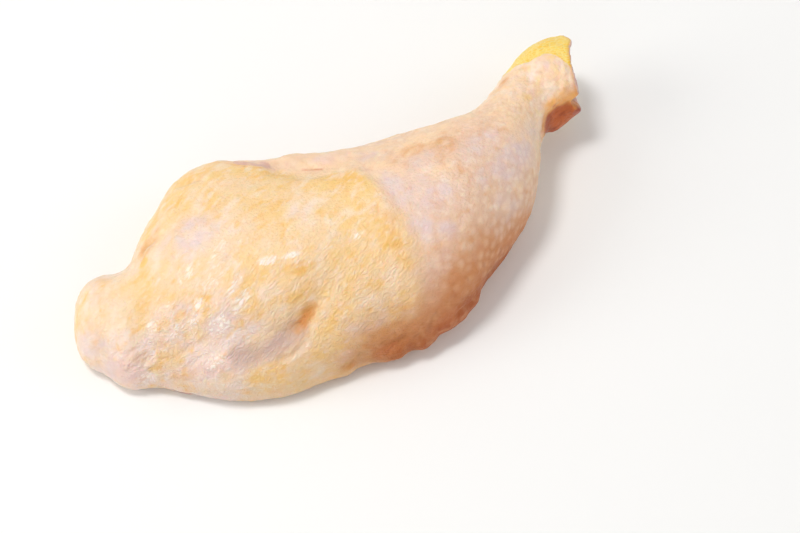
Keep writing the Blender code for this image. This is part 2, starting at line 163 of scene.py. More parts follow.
# Fine folds: how far each stands up from the skin (or sinks), its width, and its course.
FOLDS = [
    (-0.25, 2.0, CREASE),
    (-0.5, 3.0, TROUGH),
    (-0.6, 1.4, [(24, 43), (26, 50), (30, 52), (33, 53)]),
    (-0.5, 1.2, [(39, 75), (43, 77), (47, 76)]),
    (-0.6, 1.2, [(76, 8), (80, 9), (84, 13)]),
    (0.22, 0.9, [(60, 35), (58, 30), (55, 25), (53, 21)]),
    (0.18, 0.9, [(64, 34), (62, 28), (59, 23)]),
    (0.2, 0.9, [(47, 20), (52, 21), (57, 23), (62, 28)]),
    (-0.45, 1.1, [(38, 10), (44, 13), (50, 14)]),
    (-0.4, 1.0, [(42, 7), (47, 9), (52, 10)]),
    (0.35, 1.2, [(49, 4), (52, 7), (57, 9)]),
    # knobbly wrinkles low on the tail lobe
    (-0.4, 0.8, [(19, 9), (21, 11), (25, 13)]),
    (-0.45, 0.8, [(21, 7), (23, 8), (27, 10), (28, 13)]),
    (-0.45, 0.8, [(26, 8), (29, 11), (32, 13)]),
    (-0.3, 0.8, [(15, 11), (17, 12), (21, 12)]),
    (-0.4, 0.8, [(29, 7), (31, 9), (34, 10)]),
    # tucks that run in from the scalloped near edge
    (-0.9, 1.5, [(97, 10), (101, 12), (104, 14)]),
    (-0.8, 1.5, [(117, 17), (119, 18), (120, 20)]),
    (-0.8, 1.5, [(130, 21), (129, 23), (131, 26)]),
    (-0.8, 1.5, [(141, 29), (142, 31), (144, 34)]),
    # the hood of skin at the hock, with its upright folds, and the hollow under the heel
    (0.5, 1.5, [(170, 127.5), (173, 128.5), (175, 128.5), (178, 126.5), (180, 124.5)]),
    (-0.35, 0.9, [(178.5, 125), (178.5, 121), (178, 117)]),
    (0.3, 0.9, [(180.5, 124), (180.5, 121), (180.5, 118)]),
    (-0.3, 0.9, [(182, 123), (182.5, 120), (182, 117)]),
    (-0.3, 1.2, [(175, 125), (173, 121), (172, 117)]),
    (-0.25, 1.5, [(168, 124), (167, 119), (166, 115)]),
    (0.6, 2.5, [(183, 118), (179, 115), (174, 111), (171, 106)]),
]
# Where the outline needs a push: a place (x, y, z), how far the push reaches, and the push.
NUDGES = [
    (178.5, 113, 14, 5.5, 0.3, -2.8, -0.6),     # lower lip of the hollow under the heel
    (187, 114.5, 20.5, 2.6, 1.2, -1.2, 0.2),    # stub of gristle beside it
    (186.8, 115.3, 24.8, 2.4, -3.0, 0.6, -0.3),     # notch above the stub
    (186.2, 118, 22, 2.8, -1.8, 0.3, 0.0),
    (183.5, 111, 15.5, 3.2, 0.2, 0.9, 0.2),
    (184.5, 118, 30, 2.5, 0.5, 0.0, 0.0),       # heel
    (183, 125, 34, 3.0, -0.5, 0.0, 0.0),
    (179, 111, 24, 4.5, -0.2, 2.4, 0.0),        # the hollow itself
    (183, 114, 25, 2.5, -0.8, 1.6, 0.0),
    (181, 137, 34, 5, 2.2, -0.6, 0.0),          # corner of the scaly cap
    (184, 119, 33, 4, -0.5, 0.4, 0.0),
    (18, 7, 5, 7, -0.3, -1.4, 0.0),             # tail lobe
    (12, 43, 18, 7, 0.0, -1.3, -0.3),
    (4, 36, 12, 8, -1.0, 0.8, 0.0),
    (34, 77, 24, 7, -0.7, 0.6, 0.0),
    (77, 88, 29, 8, 0.0, 0.9, 0.0),             # roll on the far side
    (118, 17.5, 7, 5, 0.4, -2.1, 0.0),          # tabs of the near edge, and notches
    (127, 21, 7, 4, 0.3, -1.6, 0.0),
    (137, 27, 10, 4.5, 0.5, -1.1, 0.0),
    (105, 12.5, 7, 4, 0.0, 1.2, 0.0),
    (122.5, 19.5, 7, 2.5, 0.0, 0.8, 0.0),
    (133, 25, 8, 2.5, -0.4, 0.8, 0.0),
    (146, 38, 11, 4, 1.0, -0.9, 0.0),
    (152, 45, 11, 8, -1.7, 0.9, 0.0),
]

# The drumstick's own line, from the knee to the hock, and its radius along it.
DRUM_LINE = [(103, 45), (184, 132)]
DRUM_MIDDLE_HEIGHT = 21
DRUM_RADII = [(0, 33), (40, 32), (62, 26), (82, 16), (119, 13)]

CUT_DIRECTION = Vector((1.0, 0.165, 0.05)).normalized()
CUT_MIDDLE = (184.5, 129.5, 23.0)
CUT_RADIUS = 17.0
STUB_MIDDLE = (187.2, 113.4, 20.0)
GRISTLE_MIDDLE = (186.6, 116.3, 22.8)
BONE_HALF = (6.1, 8.1)   # half width and half height of the bone where it is cut
# The ends of the tendons that run beside the bone: how far across and up from its middle, and
# their half width and half height.
TENDONS = [((-10.3, 1.0), (1.9, 2.8)), ((-8.4, -6.4), (1.1, 0.9)), ((9.0, 5.6), (1.2, 1.7)),
           ((5.5, -9.6), (2.4, 1.0))]

# The skin's colours, each over the one before, where its share, varied by its noise, passes
# low to high. The noise is read in plain places, or in ones drawn out along the wrinkles.
LAYERS = [
    # share, colour, where its noise is read, grain in mm, how ragged, low, high, most
    ("all", "fat", "drawn", 11.0, 1.2, 0.70, 1.40, 0.70),
    ("pallor", "pale_lilac", "drawn", 6.0, 1.2, 0.12, 0.95, 0.80),
    ("fat", "fat", "drawn", 6.0, 1.0, 0.05, 0.95, 0.95),
    ("fat", "deep_fat", "drawn", 6.0, 1.6, 0.45, 1.70, 0.85),
    ("all", "deep_fat", "drawn", 7.5, 1.6, 1.00, 1.95, 0.65),
    ("all", "pale", "drawn", 6.0, 1.6, 1.00, 1.95, 0.70),
    ("all", "deep_fat", "drawn", 3.4, 1.6, 1.05, 1.95, 0.75),
    ("all", "pale", "drawn", 3.2, 1.6, 1.05, 1.95, 0.65),
    ("all", "deep_fat", "drawn", 1.8, 1.6, 1.05, 2.00, 0.40),
    ("all", "pale", "drawn", 1.6, 1.6, 1.05, 2.00, 0.40),
    ("drum", "drumstick", "plain", 6.0, 0.7, 0.12, 0.95, 0.98),
    ("drum", "lilac", "plain", 16.0, 1.4, 0.95, 1.80, 0.60),
    ("drum", "peach", "plain", 8.0, 1.6, 0.95, 1.80, 0.70),
    ("drum", "pale", "plain", 3.0, 1.6, 1.00, 1.95, 0.60),
    ("drum", "ruddy", "plain", 3.4, 1.6, 0.95, 1.90, 0.62),
    ("peach", "peach", "plain", 6.0, 1.0, 0.05, 0.90, 0.85),
    ("pink", "pink", "plain", 5.0, 0.8, 0.05, 0.95, 0.80),
    ("lilac", "lilac", "plain", 4.5, 1.3, 0.05, 1.35, 0.90),
    ("vein", "vein", "plain", 4.0, 1.3, 0.05, 1.60, 0.60),
    ("trough", "shade", "drawn", 5.0, 0.5, 0.05, 1.05, 0.72),
    # painted highlight on the tops of the wettest wrinkles
    ("painted_glint", "sheen", "drawn", 1.6, 1.2, 0.05, 0.75, 0.85),
    ("ankle", "pale", "plain", 5.0, 1.4, 0.45, 1.60, 0.85),
    ("ankle", "fat", "plain", 4.2, 1.6, 0.95, 1.80, 0.70),
    ("ankle", "ruddy", "plain", 3.2, 1.6, 1.05, 2.00, 0.45),
    ("ankle", "pink", "plain", 4.5, 1.6, 1.10, 1.90, 0.55),
    # painted warm shade on the drumstick's side that faces down and near, with mottles in it
    ("tan", "tan", "plain", 6.0, 0.5, 0.00, 0.95, 0.95),
    ("deep_tan", "deep_tan", "plain", 5.0, 0.6, 0.05, 1.00, 0.88),
    ("tan", "ruddy", "plain", 3.4, 1.6, 0.85, 1.70, 0.38),
    ("tan", "deep_tan", "plain", 3.0, 1.6, 0.95, 1.80, 0.45),
    ("amber", "amber", "plain", 3.5, 0.7, 0.05, 1.05, 0.92),
    ("orange", "orange", "drawn", 2.6, 1.2, 0.08, 1.20, 0.88),
    # painted shade in the deepest folds and the hollow under the heel
    ("brown", "brown", "plain", 2.5, 0.4, 0.05, 1.05, 0.92),
    ("film", "film", "drawn", 2.0, 1.2, 0.10, 1.10, 0.88),
    # painted dark shade in the hollow under the heel, streaked, and darkest at its inner side and
    # lip
    ("hollow", "raw_brown", "drawn", 2.6, 1.6, 0.90, 1.80, 0.75),
    ("deepest", "raw_brown", "drawn", 2.6, 0.6, 0.10, 1.20, 0.70),
    ("stub", "gristle", "plain", 1.5, 0.4, 0.05, 0.60, 0.95),
    ("stub_top", "raw_brown", "plain", 1.5, 0.4, 0.05, 0.80, 0.85),
]


# ---------------------------------------------------------------- shares over the skin
def ramp(value, low, high):
    """0 below low, 1 above high, and an even rise between."""
    share = np.clip((value - low) / (high - low), 0, 1)
    return share * share * (3 - 2 * share)


def fall(value, low, high):
    """1 below low, 0 above high, and an even fall between."""
    return 1 - ramp(value, low, high)


def near(points, middle, core, edge):
    """1 within core of the middle, and 0 from the edge on."""
    return fall(np.linalg.norm(points - middle, axis=1), core, edge)


def from_oval(places, middle, half):
    """How far each place is from an oval's middle, where 1 is the oval's edge."""
    return np.hypot(*((places - np.array(middle)) / half).T)


def skin_tree(points, faces):
    return BVHTree.FromPolygons([tuple(p) for p in points], faces)


def on_skin(tree, x, y):
    """The place on the skin straight above (x, y)."""
    hit = tree.ray_cast(Vector((x, y, 1000)), Vector((0, 0, -1)))[0]
    if hit is None:
        hit = tree.find_nearest(Vector((x, y, 15)))[0]
    return np.array(hit)


def spots_share(points, tree, spots):
    share = np.zeros(len(points))
    for x, y, length, width, degrees, strength in spots:
        away = points - on_skin(tree, x, y)
        turn = math.radians(degrees)
        ahead = away[:, 0] * math.cos(turn) + away[:, 1] * math.sin(turn)
        aside = away[:, 1] * math.cos(turn) - away[:, 0] * math.sin(turn)
        mean = (length + width) / 4
        reach = np.sqrt((2 * ahead / length) ** 2 + (2 * aside / width) ** 2
                        + (away[:, 2] / mean) ** 2)
        share = np.maximum(share, strength * fall(reach, SPOT_CORE, SPOT_EDGE))
    return share


def line_share(points, tree, line, width):
    """1 on the line over the skin, 0 from the width on."""
    places = [on_skin(tree, x, y) for x, y in line]
    best = np.full(len(points), np.inf)
    for start, end in zip(places, places[1:]):
        run = end - start
        share = np.clip((points - start) @ run / (run @ run), 0, 1)
        best = np.minimum(best, np.linalg.norm(points - start - share[:, None] * run, axis=1))
    return fall(best, 0, width)


def side_of(points, line):
    """Distance in plan from the line, positive on its left."""
    plan = points[:, :2]
    best = np.full(len(points), np.inf)
    side = np.zeros(len(points))
    for start, end in zip(np.array(line, float), np.array(line[1:], float)):
        run = end - start
        away = plan - start
        share = np.clip(away @ run / (run @ run), 0, 1)
        distance = np.linalg.norm(away - share[:, None] * run, axis=1)
        turn = np.sign(run[0] * away[:, 1] - run[1] * away[:, 0])
        nearer = distance < best
        best = np.where(nearer, distance, best)
        side = np.where(nearer, turn, side)
    return best * side


def drum_places(points):
    """Places along and round the drumstick, stretched so that a square stays a square.

    Also how far each point lies along the drumstick's line, and aside from it.
    """
    start, end = np.array(DRUM_LINE, float)
    ahead = (end - start) / np.linalg.norm(end - start)
    away = points[:, :2] - start
    along = away @ ahead
    aside = ahead[0] * away[:, 1] - ahead[1] * away[:, 0]
    stations, radii = np.array(DRUM_RADII, float).T
    steps = np.linspace(-60, 130, 191)
    stretch = radii[0] / np.interp(steps, stations, radii)
    run = np.interp(along, steps, np.cumsum(stretch) * (steps[1] - steps[0]))
    angle = np.arctan2(aside, points[:, 2] - DRUM_MIDDLE_HEIGHT)
    return np.stack([run, angle * radii[0], np.zeros(len(points))], axis=1), along, aside


def relaxed(points, edges, share, steps):
    """The points, evened out towards their neighbours' middle where the share is high."""
    count = np.bincount(edges.ravel(), minlength=len(points))[:, None]
    for _ in range(steps):
        total = np.stack([np.bincount(edges[:, 0], points[edges[:, 1], k], len(points))
                          + np.bincount(edges[:, 1], points[edges[:, 0], k], len(points))
                          for k in range(3)], axis=1)
        points = points + 0.5 * share[:, None] * (total / count - points)
    return points


def nudged(points):
    """The points, after the pushes that bring the outline to the real one's."""
    moved = points.copy()
    for x, y, z, reach, *push in NUDGES:
        away = points - (x, y, z)
        share = np.exp(-np.sum(away * away, axis=1) / reach ** 2)
        moved += share[:, None] * push
    return moved


def folded(points, normals, tree):
    """The points, moved along their normals by the fine folds."""
    height = np.zeros(len(points))
    for rise, width, places in FOLDS:
        share = line_share(points, tree, places, 2 * width)
        height += rise * share * share
    return points + height[:, None] * normals


def cut_shares(points, normals, past_cut):
    """The cut face, with the bone's dark socket and tendons in dark sheaths, its rim of skin,
    and the stub of gristle beside it."""
    stub = near(points, STUB_MIDDLE, 2.2, 3.6)
    gristle = near(points, GRISTLE_MIDDLE, 3.2, 4.6)
    near_cut = near(points, CUT_MIDDLE, CUT_RADIUS, CUT_RADIUS + 2)
    facing = ramp(normals @ np.array(CUT_DIRECTION), 0.55, 0.75)
    cut = ramp(past_cut, -3.2, -2.6) * facing * near_cut * (1 - np.maximum(stub, gristle))
    across = (points - CUT_MIDDLE)[:, 1:]
    socket = from_oval(across, (0, 0), BONE_HALF)
    cut = np.maximum(cut, fall(socket, 1.15, 1.3) * ramp(past_cut, -6, -4))
    tendon = np.zeros(len(points))
    sheath = fall(socket, 1.08, 1.3)
    for middle, half in TENDONS:
        away = from_oval(across, middle, half)
        tendon = np.maximum(tendon, fall(away, 0.6, 1.2))
        sheath = np.maximum(sheath, 0.7 * fall(away, 1.1, 1.8))
    return {
        "cut": cut,
        "rim": ramp(past_cut, -2.8, -1.4) * (1 - cut) * near_cut * (1 - stub),
        "tendon": tendon,
        "sheath": sheath * (1 - tendon),
        "stub": stub,
        "stub_top": np.maximum(stub * ramp(points[:, 2], 20.5, 22.5), gristle * facing),
    }


def flesh_shares(points, under, cut):
    """Where flesh shows: through a thin film in a wedge between the thigh's skin and the roll on
    the far side, and bare in a small tear at the near edge and underneath."""
    x, y, z = points.T
    # the wedge narrows from 27 mm high downwards, between wavy edges
    closing = 1.5 * np.maximum(27 - z, 0) * (1 + 0.2 * np.sin(x / 1.6))
    wedge = (ramp(x - closing, 43, 50)
             * fall(x + 0.45 * (y - 81) + closing, 71, 72.6 + 0.5 * closing))
    film = (ramp(side_of(points, FAR_SKIN_EDGE), 0.0, 1.2) * wedge
            * ramp(y, 60, 70) * ramp(z, 23, 31))
    waved = np.stack([x, z - 0.25 * np.sin(0.9 * x)], axis=1)
    tear = fall(from_oval(waved, (41, 3.4), (7, 1)), 0.5, 1.2)
    near_meat = tear * fall(y, 10, 14)
    under_meat = under * spots_share(points * (1, 1, 0), tree_of_floor(), [UNDER_MEAT])
    return {"meat": np.maximum(near_meat, under_meat) * (1 - cut), "film": film}


def warm_painted_shade_shares(points, along, aside):
    """Painted warm shade on the drumstick's side that faces down and near, darkest at its low
    edge.

    Both are lighter again where the side turns under. The first share is without that.
    """
    x, _, z = points.T
    near_side = ramp(-aside, 4, 20)
    before_calf = fall(along, -5, 25)
    past_calf = ramp(along, 32, 58)
    level = z + 10 * before_calf + 10 * past_calf
    tan = near_side * fall(level, 23, 46) * ramp(x, 80, 120) * fall(along, 50, 88)
    level = z + 6 * before_calf + 7 * past_calf
    deep_tan = (near_side * fall(level, 10, 30) * ramp(x, 86, 130)
                * fall(along, 40, 80))
    low_side = near_side * fall(z, 3, 9)
    return tan, tan * (1 - 0.4 * low_side), deep_tan * (1 - 0.5 * low_side)


def heel_shares(points, cut):
    """Painted dark shade in the hollow under the heel, and its darkest part; the dried skin round
    the heel, and the low half of the heel itself."""
    x, y, z = points.T
    slanted = z + 0.3 * (x - 176)
    under_heel = ramp(x, 171.8, 174.2) * fall(y, 117.5, 119.5) * (1 - cut)
    hollow = under_heel * fall(slanted, 24, 28.5)
    deepest = hollow * np.maximum(fall(x, 174, 178.5), fall(z, 13, 16))
    heel = (ramp(x - 0.4 * np.maximum(22 - z, 0), 167, 175) * fall(y, 117, 121.5)
            * (1 - cut))
    # the amber skin ends at a slanting line on the hood
    heel_edge = 118.8 - 0.6 * (184.7 - x)
    amber = (heel * ramp(x, 166, 177) * fall(slanted, 30, 38)
             * ramp(heel_edge - y, -2.5, 2.5))
    return hollow, deepest, amber, heel * fall(slanted, 25, 30)


def wrinkled_share(points, drum):
    """Fine diagonal wrinkles: deep low on the thigh and before the knee, faint on its top."""
    x, y, _ = points.T
    low = fall(y - 0.25 * x, 5, 38)
    before_knee = ramp(x, 84, 100) * fall(y, 42, 58)
    share = np.maximum(0.12, np.maximum(low * ramp(x, 18, 34), 0.7 * before_knee))
    return share * (1 - 0.85 * drum)


def skin_shares(points, normals, tree, past_cut):
    """What shows where on the skin, as shares from 0 to 1 under their names, and the places
    round the drumstick.

    past_cut is how far each point lies past the plane of the cut at the hock.
    """
    x, y, z = points.T
    blend = 4.0 + 8 * fall(y, 24, 56)
    drum = ramp(side_of(points, KNEE_EDGE), -blend, blend)
    lattice, along, aside = drum_places(points)
    under = ramp(-normals[:, 2], 0.5, 0.85)
    spots = {name: spots_share(points, tree, places) for name, places in SPOTS.items()}
    cut_face = cut_shares(points, normals, past_cut)
    cut = cut_face["cut"]
    flesh = flesh_shares(points, under, cut)
    skin = 1 - flesh["meat"]
    whole_warm_painted_shade, tan, deep_tan = warm_painted_shade_shares(points, along, aside)
    hollow, deepest, amber, low_heel = heel_shares(points, cut)
    # the scales begin at a wavy line round the shank, further out low down
    limit = 157 + 0.45 * np.maximum(26 - z, 0) + 1.2 * np.sin(0.9 * z)
    scaly = ramp(side_of(points, SCALE_EDGE), -0.4, 0.6) * ramp(x - limit, 0, 3) * (1 - cut)
    ankle = drum * ramp(along, 66, 92) * (1 - scaly) * (1 - hollow)
    # painted shade, orange, in a band along the floor where the skin meets it
    edge = fall(z, 1.0, 8.0) * (0.3 + 0.7 * ramp(x, 60, 100))
    far_edge = line_share(points, tree, FAR_SKIN_EDGE, 2.0) * skin
    low_thigh = fall(y - 0.2 * x, 2, 34) * fall(x, 56, 88)
    return {
        **spots, **cut_face, **flesh,
        "drum": drum,
        "fat": spots["fat"] * (1 - drum),
        "trough": line_share(points, tree, TROUGH, 8.0),
        "orange": np.maximum.reduce([spots["orange"], low_heel, 0.6 * edge, 0.5 * far_edge]),
        "brown": np.maximum.reduce([spots["brown"], 0.6 * line_share(points, tree, STREAK, 1.1),
                                    hollow]),
        "hollow": hollow,
        "deepest": deepest,
        "amber": amber,
        "dry": np.maximum(whole_warm_painted_shade, spots["dry"]),
        "tan": tan,
        "deep_tan": deep_tan,
        "peach": drum * np.maximum(ramp(along, 60, 95), 0.6 * ramp(y - x, -65, -35)),
        "scaly": scaly,
        "bumpy": drum * np.maximum(0.1 + 0.9 * spots["bumpy"], 0.6 * ramp(aside, 10, 24))
                 * (1 - under) * (1 - 0.45 * ramp(along, 74, 92)) * (1 - scaly) * (1 - hollow),
        "ankle": ankle,
        "knobbly": ankle * fall(past_cut, -9, -4),
        "wrinkled": wrinkled_share(points, drum) * skin * (1 - cut),
        "pallor": (1 - drum) * np.maximum.reduce([0.75 * low_thigh, spots["pallor"],
                                                  0.42 * fall(x, 14, 46)]),
        "free": ramp(z, 0.4, 2.5),      # the underside stays flat
    }, lattice


def tree_of_floor():
    """A flat sheet at floor height, to place what shows on the underside."""
    corners = [(-500, -500, 0), (500, -500, 0), (500, 500, 0), (-500, 500, 0)]
    return skin_tree(corners, [(0, 1, 2, 3)])


# ---------------------------------------------------------------- meshes
def object_of(name, data):
    thing = bpy.data.objects.new(name, data)
    bpy.context.scene.collection.objects.link(thing)
    return thing


def copy_of(node, name):
    """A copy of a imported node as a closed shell, which arrives as loose triangles."""
    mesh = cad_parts[node].data.copy()
    mesh.name = name
    mesh.materials.clear()
    shell = bmesh.new()
    shell.from_mesh(mesh)
    bmesh.ops.remove_doubles(shell, verts=shell.verts, dist=SAME_POINT)
    bmesh.ops.recalc_face_normals(shell, faces=shell.faces)
    shell.to_mesh(mesh)
    shell.free()
    return object_of(name, mesh)


def make_plain(piece):
    """Gives the piece the mesh that its modifiers make, and removes them."""
    graph = bpy.context.evaluated_depsgraph_get()
    shaped = piece.evaluated_get(graph)
    mesh = bpy.data.meshes.new_from_object(shaped, preserve_all_data_layers=True, depsgraph=graph)
    piece.modifiers.clear()
    coarse = piece.data
    piece.data = mesh
    bpy.data.meshes.remove(coarse)
    mesh.shade_smooth()


def places_of(mesh):
    """The mesh's points in millimetres from the leg's low corner, and its normals."""
    points = np.empty(len(mesh.vertices) * 3)
    mesh.vertices.foreach_get("co", points)
    normals = np.empty(len(mesh.vertices) * 3)
    mesh.vertices.foreach_get("normal", normals)
    return (points.reshape(-1, 3) - np.array(CORNER)) / MM, normals.reshape(-1, 3)


def set_places(mesh, points):
    """Moves the mesh's points, given as places_of() gives them, and none below the floor."""
    moved = points * MM + np.array(CORNER)
    moved[:, 2] = np.maximum(moved[:, 2], 0)
    mesh.vertices.foreach_set("co", moved.ravel())
    mesh.update()


def store(mesh, name, values, kind="FLOAT"):
    layer = mesh.attributes.new(name, kind, "POINT")
    layer.data.foreach_set("vector" if kind == "FLOAT_VECTOR" else "value",
                           np.ascontiguousarray(values, dtype=np.float32).ravel())


# ---------------------------------------------------------------- nodes
def to_linear(code):
    """An sRGB hex colour as linear RGBA."""
    parts = [int(code[i:i + 2], 16) / 255 for i in (1, 3, 5)]
    return [p / 12.92 if p <= 0.04045 else ((p + 0.055) / 1.055) ** 2.4 for p in parts] + [1.0]


def add(tree, kind, links=None, out=None, **settings):
    """Adds a node, and gives its output of that name or else the first one in use.

    Settings go to the node's properties, links to its inputs by name or number. A colour input
    takes a hex code. A kind is a ShaderNode's unless it says otherwise, and may be followed by
    its operation.
    """
    kind, _, operation = kind.partition(" ")
    prefix = "" if kind.startswith(("GeometryNode", "NodeGroup")) else "ShaderNode"
    node = tree.nodes.new(prefix + kind)
    if operation:
        node.operation = operation
    for name, value in settings.items():
        setattr(node, name, value)
    for name, value in (links or {}).items():
        socket = node.inputs[name]
        if isinstance(value, bpy.types.NodeSocket):
            tree.links.new(value, socket)
        else:
            socket.default_value = to_linear(value) if socket.type == "RGBA" else value
    return node.outputs[out] if out else next((s for s in node.outputs if s.enabled), None)


def diagonal_folds(tree, place, spacing, turn):
    """Ridges that run along one direction in plan: 0 in their valleys, about 1 on top."""
    sized = add(tree, "VectorMath DIVIDE", {0: place, 1: spacing})
    turned = add(tree, "VectorRotate", {"Vector": sized, "Angle": -math.radians(turn)},
                 rotation_type="Z_AXIS")
    drift = add(tree, "TexNoise", {"Vector": turned, "Scale": 0.2, "Detail": 1.0}, out="Color")
    moved = add(tree, "VectorMath MULTIPLY_ADD", {0: drift, 1: (0.0, 2.2, 0.0), 2: turned})
    drawn = add(tree, "VectorMath MULTIPLY", {0: moved, 1: (0.16, 1.0, 1.0)})
    grain = add(tree, "TexNoise", {"Vector": drawn, "Scale": 1.0, "Detail": 2.0, "Roughness": 0.5})
    half = add(tree, "Math SUBTRACT", {0: grain, 1: 0.5})
    ridge = add(tree, "Math ABSOLUTE", {0: half})
    return add(tree, "MapRange", {"Value": ridge, "From Max": 0.16}, **SMOOTH)


def bump_domes(tree, lattice, spacing):
    """Goose bumps in slanting rows: 0.3 to 1.1 on top of each, at random, and 0 between."""
    turned = add(tree, "VectorRotate", {"Vector": lattice, "Angle": math.radians(BUMP_ROW_TURN)},
                 rotation_type="Z_AXIS")
    cells = add(tree, "VectorMath DIVIDE", {0: turned, 1: spacing})
    away = add(tree, "TexVoronoi", {"Vector": cells, "Scale": 1.0, "Randomness": 0.75},
               voronoi_dimensions="2D")
    dome = add(tree, "MapRange", {"Value": away, "From Min": 0.55, "From Max": 0.0}, **SMOOTH)
    own = add(tree, "VectorMath DOT_PRODUCT", {0: away.node.outputs["Color"],
                                               1: (0.8, 0.0, 0.0)})
    strength = add(tree, "Math ADD", {0: own, 1: 0.3})
    return add(tree, "Math MULTIPLY", {0: dome, 1: strength})


def scale_tops(tree, place, size):
    """Small plates: 1 on each, 0 in the grooves round it."""
    sized = add(tree, "VectorMath DIVIDE", {0: place, 1: size})
    cells = add(tree, "VectorMath MULTIPLY", {0: sized, 1: (0.5, 1.0, 1.0)})
    edge = add(tree, "TexVoronoi", {"Vector": cells, "Scale": 1.0, "Randomness": 0.7},
               feature="DISTANCE_TO_EDGE")
    return add(tree, "MapRange", {"Value": edge, "From Max": 0.22}, **SMOOTH)


def clouds(tree, place, size, seed, detail, distortion=0.0):
    """An uneven pattern from 0 to 1 with a grain of that size."""
    sized = add(tree, "VectorMath DIVIDE", {0: place, 1: size})
    return add(tree, "TexNoise", {"Vector": sized, "Scale": 1.0, "Detail": detail,
                                  "Distortion": distortion, "W": seed}, noise_dimensions="4D")


def relief_tree():
    """Raises goose bumps, scales, folds and lumps along the skin's normals. Sizes are mm."""
    tree = bpy.data.node_groups.new("Skin relief", "GeometryNodeTree")
    for name, in_out, kind in (("Geometry", "INPUT", "Geometry"),
                               *((name, "INPUT", "Float") for name in LegSizes.__annotations__),
                               ("seed", "INPUT", "Float"), ("Material", "INPUT", "Material"),
                               ("Geometry", "OUTPUT", "Geometry")):
        tree.interface.new_socket(name, in_out=in_out, socket_type="NodeSocket" + kind)
    inputs = add(tree, "NodeGroupInput").node.outputs
    position = add(tree, "GeometryNodeInputPosition")
    place = add(tree, "VectorMath SCALE", {0: position, "Scale": 1 / MM})
    share = {name: add(tree, "GeometryNodeInputNamedAttribute", {"Name": name})
             for name in ("bumpy", "scaly", "wrinkled", "puckered", "knobbly", "free")}
    lattice = add(tree, "GeometryNodeInputNamedAttribute", {"Name": "lattice"},
                  data_type="FLOAT_VECTOR")
    lumps = clouds(tree, place, inputs["lump_size"], inputs["seed"], 1.0)
    dimples = clouds(tree, place, inputs["dimple_size"], inputs["seed"], 1.0)
    knobs = clouds(tree, place, inputs["pucker_size"], inputs["seed"], 1.5, 0.8)
    lumps = add(tree, "Math SUBTRACT", {0: lumps, 1: 0.5})
    dimples = add(tree, "Math SUBTRACT", {0: dimples, 1: 0.5})
    knobs = add(tree, "MapRange", {"Value": knobs, "From Min": 0.35, "From Max": 0.65}, **SMOOTH)
    height = 0.0
    for pattern, over, size in (
            (bump_domes(tree, lattice, inputs["bump_spacing"]), "bumpy", "bump_height"),
            (scale_tops(tree, place, inputs["scale_size"]), "scaly", "scale_height"),
            (diagonal_folds(tree, place, inputs["fold_spacing"], WRINKLE_TURN), "wrinkled",
             "fold_depth"),
            (lumps, "free", "lump_height"),
            (dimples, "free", "dimple_depth"),
            (knobs, "puckered", "pucker_depth"),
            (knobs, "knobbly", "knob_depth")):
        shown = add(tree, "Math MULTIPLY", {0: pattern, 1: share[over]})
        height = add(tree, "Math MULTIPLY_ADD", {0: shown, 1: inputs[size], 2: height})
    lifted = add(tree, "Math MULTIPLY", {0: height, 1: share["free"]})
    metres = add(tree, "Math MULTIPLY", {0: lifted, 1: MM})
    normal = add(tree, "GeometryNodeInputNormal")
    offset = add(tree, "VectorMath SCALE", {0: normal, "Scale": metres})
    moved = add(tree, "GeometryNodeSetPosition", {"Geometry": inputs["Geometry"],
                                                  "Offset": offset})
    real = add(tree, "GeometryNodeRealizeInstances", {"Geometry": moved})
    dressed = add(tree, "GeometryNodeSetMaterial", {"Geometry": real,
                                                    "Material": inputs["Material"]})
    add(tree, "NodeGroupOutput", {"Geometry": dressed})
    return tree


def raise_relief(piece, sizes, material):
    tree = relief_tree()
    modifier = piece.modifiers.new("Skin relief", "NODES")
    modifier.node_group = tree
    values = {name: getattr(sizes, name) / MM for name in LegSizes.__annotations__}
    values["Material"] = material
    for socket in tree.interface.items_tree:
        if socket.in_out == "INPUT" and socket.name in values:
            modifier[socket.identifier] = values[socket.name]
    make_plain(piece)


# ---------------------------------------------------------------- materials
def start_material(name):
    """A material with an empty tree, and the place on the object in millimetres."""
    material = bpy.data.materials.new(name)
    material.use_nodes = True
    tree = material.node_tree
    tree.nodes.clear()
    where = add(tree, "TexCoord", out="Object")
    return material, tree, add(tree, "VectorMath SCALE", {0: where, "Scale": 1 / MM})


def shares_in(tree, names):
    """The shares that are stored on the mesh under these names."""
    return {name: add(tree, "Attribute", out="Fac", attribute_name=name) for name in names}


def painted(tree, below, colour, share, low, high, most=1.0):
    """The colour, over what is below, where the share passes low to high."""
    mask = add(tree, "MapRange", {"Value": share, "From Min": low, "From Max": high,
                                  "To Max": most}, **SMOOTH)
    return add(tree, "Mix", {0: mask, 6: below, 7: colour}, data_type="RGBA")


def tinted(tree, below, colour, pattern, share, strength):
    """The colour, over what is below, as strong as the pattern, the share and the strength."""
    part = add(tree, "Math MULTIPLY", {0: pattern, 1: share})
    part = add(tree, "Math MULTIPLY", {0: part, 1: strength})
    return add(tree, "Mix", {0: part, 6: below, 7: colour}, data_type="RGBA")


def skin_colour(tree, colours, place, share):
    """The skin's own colour, in its layers."""
    turned = add(tree, "VectorRotate", {"Vector": place, "Angle": -math.radians(DRAWN_TURN)},
                 rotation_type="Z_AXIS")
    drawn = add(tree, "VectorMath MULTIPLY", {0: turned, 1: (0.55, 1.0, 1.0)})
    read = {"drawn": drawn, "plain": place}
    shown = colours.cream
    for number, (over, colour, where, grain, ragged, low, high, most) in enumerate(LAYERS):
        noise = add(tree, "TexNoise", {"Vector": read[where], "W": NOISE_APART * number,
                                       "Scale": 1 / grain, "Detail": 1.5, "Roughness": 0.45,
                                       "Distortion": 0.2}, noise_dimensions="4D")
        varied = add(tree, "Math MULTIPLY_ADD", {0: noise, 1: 2 * ragged, 2: 1 - ragged})
        varied = add(tree, "Math MULTIPLY", {0: varied, 1: share[over]})
        shown = painted(tree, shown, getattr(colours, colour), varied, low, high, most)
    return shown


